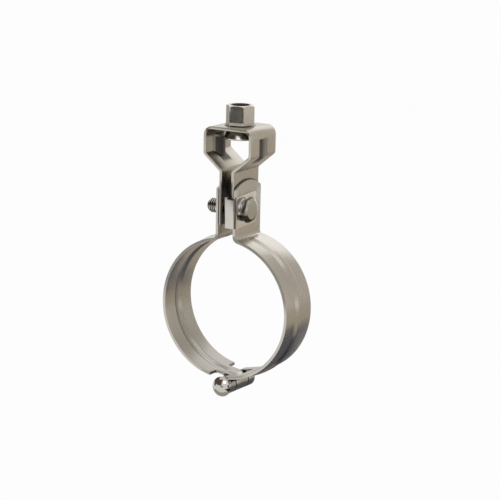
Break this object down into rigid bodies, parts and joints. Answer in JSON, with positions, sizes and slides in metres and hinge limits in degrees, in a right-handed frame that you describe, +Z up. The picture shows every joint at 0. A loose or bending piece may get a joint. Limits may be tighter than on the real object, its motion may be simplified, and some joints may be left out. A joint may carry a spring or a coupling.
{
  "type": "pipe hanger band",
  "caption": "Hinged two-part pipe band under a folded yoke with a rod nut; the halves open about a bottom pin once the clamp bolt is drawn.",
  "frame": {"origin": "centre of the pipe, in the middle of the band's width", "axes": "+Y along the pipe towards the back, +X to the right across the band towards the clamp bolt's head, +Z up the hanging rod"},
  "size_m": [0.0814, 0.0321, 0.1614],
  "materials": {
    "satin_steel": "satin rolled stainless sheet, fine brushing along the strip",
    "pale_steel": "satin stainless sheet, a shade lighter",
    "polished_steel": "bright turned and tumbled stainless",
    "bolt_steel": "cold formed stainless, half bright"
  },
  "bodies": {
    "nut": {"swivel_nut": "polished_steel"},
    "hanger": {"yoke": "satin_steel", "left_half_band": "satin_steel", "hinge_pin": "polished_steel"},
    "swing_half": {"right_half_band": "satin_steel"},
    "clip": {"clip_plate": "pale_steel"},
    "bolt": {"clamp_bolt": "bolt_steel"}
  },
  "joints": [
    {"name": "nut_swivel", "type": "hinge", "parent": "nut", "child": "hanger", "pos_m": [0, 0, 0.0997], "axis": [0, 0, 1], "continuous": true},
    {"name": "band_open", "type": "hinge", "parent": "hanger", "child": "swing_half", "pos_m": [0, 0, -0.044], "axis": [0, 1, 0], "range_deg": [0, 60]},
    {"name": "bolt_draw", "type": "slide", "parent": "swing_half", "child": "clip", "axis": [1, 0, 0], "range_m": [0, 0.16]},
    {"name": "bolt_turn", "type": "hinge", "parent": "clip", "child": "bolt", "pos_m": [0, -0.0067, 0.05575], "axis": [1, 0, 0], "continuous": true}
  ],
  "couplings": [
    {"joint": "bolt_draw", "follows": "band_open", "m_per_rad": 0.15}
  ]
}
